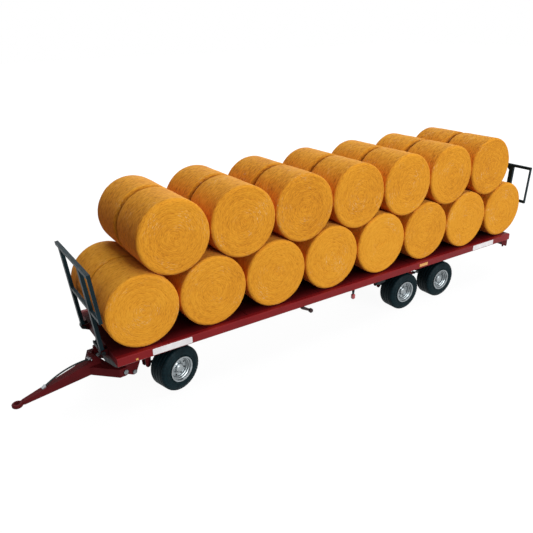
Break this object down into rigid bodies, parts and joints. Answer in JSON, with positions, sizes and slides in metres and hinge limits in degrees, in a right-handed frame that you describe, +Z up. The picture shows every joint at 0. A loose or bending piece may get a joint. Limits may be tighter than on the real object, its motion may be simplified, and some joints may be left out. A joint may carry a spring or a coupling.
{
  "type": "flatbed trailer with round bales",
  "caption": "Scale-model flatbed trailer with a steered front dolly, tandem rear axles and folding end ladders, carrying two rows of round bales.",
  "frame": {"origin": "on the ground under the middle of the whole model, drawbar and ladders included", "axes": "+X forward along the trailer to the tow eye, +Y to the left (the side the picture shows), +Z up; the dolly is stored steered 15 degrees to the left as in the picture"},
  "size_m": [0.4624, 0.0806, 0.1347],
  "materials": {
    "deck_red": "satin",
    "chassis_red": "satin",
    "drawbar_red": "satin",
    "bare_steel": "satin",
    "spring_black": "satin",
    "ladder_black": "satin",
    "tyre_rubber": "matte",
    "rim_silver": "satin",
    "pressed_hay": "matte",
    "black_plastic": "matte",
    "hose_rubber": "satin",
    "red_lens": "gloss",
    "amber_lens": "gloss",
    "crank_brown": "satin"
  },
  "bodies": {
    "trailer": {"deck_plate": "deck_red", "side_rail_left": "deck_red", "side_rail_right": "deck_red", "front_beam": "deck_red", "rear_beam": "deck_red", "cross_members": "chassis_red", "chassis_beams": "chassis_red", "turntable_upper": "chassis_red", "kingpin_nut": "bare_steel", "spring_hangers": "chassis_red", "tandem_springs": "spring_black", "rockers": "drawbar_red", "middle_axle": "spring_black", "rear_axle": "spring_black", "tandem_clamps": "bare_steel", "crank_bracket": "chassis_red", "marker_stems": "black_plastic", "red_lenses": "red_lens", "amber_reflectors": "amber_lens", "rope_hooks": "black_plastic", "light_bar": "drawbar_red", "ladder_pins": "bare_steel", "air_couplings": "black_plastic"},
    "dolly": {"turntable_lower": "drawbar_red", "dolly_frame": "drawbar_red", "dolly_springs": "spring_black", "front_axle": "spring_black", "dolly_clamps": "bare_steel", "drawbar_pins": "bare_steel"},
    "drawbar": {"drawbar": "drawbar_red", "tow_eye": "drawbar_red", "air_hose": "hose_rubber", "hose_fittings": "bare_steel"},
    "front_ladder": {"front_ladder": "ladder_black"},
    "rear_ladder": {"rear_ladder": "ladder_black"},
    "brake_crank": {"brake_crank": "crank_brown"},
    "lower_load": {"lower_bales_1": "pressed_hay", "lower_bales_2": "pressed_hay", "lower_bales_3": "pressed_hay", "lower_bales_4": "pressed_hay", "lower_bales_5": "pressed_hay", "lower_bales_6": "pressed_hay", "lower_bales_7": "pressed_hay", "lower_bales_8": "pressed_hay"},
    "upper_load": {"upper_bales_1_2": "pressed_hay", "upper_bales_3_4": "pressed_hay", "upper_bales_5_6": "pressed_hay", "upper_bales_7": "pressed_hay"},
    "wheel_front_left": {"tyre_front_left": "tyre_rubber", "rim_front_left": "rim_silver"},
    "wheel_front_right": {"tyre_front_right": "tyre_rubber", "rim_front_right": "rim_silver"},
    "wheel_middle_left": {"tyre_middle_left": "tyre_rubber", "rim_middle_left": "rim_silver"},
    "wheel_middle_right": {"tyre_middle_right": "tyre_rubber", "rim_middle_right": "rim_silver"},
    "wheel_rear_left": {"tyre_rear_left": "tyre_rubber", "rim_rear_left": "rim_silver"},
    "wheel_rear_right": {"tyre_rear_right": "tyre_rubber", "rim_rear_right": "rim_silver"}
  },
  "joints": [
    {"name": "dolly_steer", "type": "hinge", "parent": "trailer", "child": "dolly", "pos_m": [0.13535, 0, 0.0295], "axis": [0, 0, 1], "range_deg": [-75, 45]},
    {"name": "drawbar_tilt", "type": "hinge", "parent": "dolly", "child": "drawbar", "pos_m": [0.16188, 0.02538, 0.0227], "axis": [0.2588, -0.9659, 0], "range_deg": [-18, 5]},
    {"name": "wheel_front_left_spin", "type": "hinge", "parent": "dolly", "child": "wheel_front_left", "pos_m": [0.12779, 0.02821, 0.016], "axis": [-0.2588, 0.9659, 0], "continuous": true},
    {"name": "wheel_front_right_spin", "type": "hinge", "parent": "dolly", "child": "wheel_front_right", "pos_m": [0.14291, -0.02821, 0.016], "axis": [-0.2588, 0.9659, 0], "continuous": true},
    {"name": "wheel_middle_left_spin", "type": "hinge", "parent": "trailer", "child": "wheel_middle_left", "pos_m": [-0.08155, 0.0292, 0.016], "axis": [0, 1, 0], "continuous": true},
    {"name": "wheel_middle_right_spin", "type": "hinge", "parent": "trailer", "child": "wheel_middle_right", "pos_m": [-0.08155, -0.0292, 0.016], "axis": [0, 1, 0], "continuous": true},
    {"name": "wheel_rear_left_spin", "type": "hinge", "parent": "trailer", "child": "wheel_rear_left", "pos_m": [-0.12545, 0.0292, 0.016], "axis": [0, 1, 0], "continuous": true},
    {"name": "wheel_rear_right_spin", "type": "hinge", "parent": "trailer", "child": "wheel_rear_right", "pos_m": [-0.12545, -0.0292, 0.016], "axis": [0, 1, 0], "continuous": true},
    {"name": "front_ladder_fold", "type": "hinge", "parent": "trailer", "child": "front_ladder", "pos_m": [0.17295, 0.0205, 0.0393], "axis": [0, 1, 0], "range_deg": [0, 80]},
    {"name": "rear_ladder_fold", "type": "hinge", "parent": "trailer", "child": "rear_ladder", "pos_m": [-0.22515, 0.0205, 0.0393], "axis": [0, -1, 0], "range_deg": [0, 80]},
    {"name": "brake_crank_turn", "type": "hinge", "parent": "trailer", "child": "brake_crank", "pos_m": [0.02655, 0.0368, 0.0337], "axis": [0, 1, 0], "range_deg": [-145, 24]},
    {"name": "lower_load_lift", "type": "slide", "parent": "trailer", "child": "lower_load", "axis": [0, 0, 1], "range_m": [0, 0.05]},
    {"name": "upper_load_lift", "type": "slide", "parent": "lower_load", "child": "upper_load", "axis": [0, 0, 1], "range_m": [0, 0.06]}
  ]
}
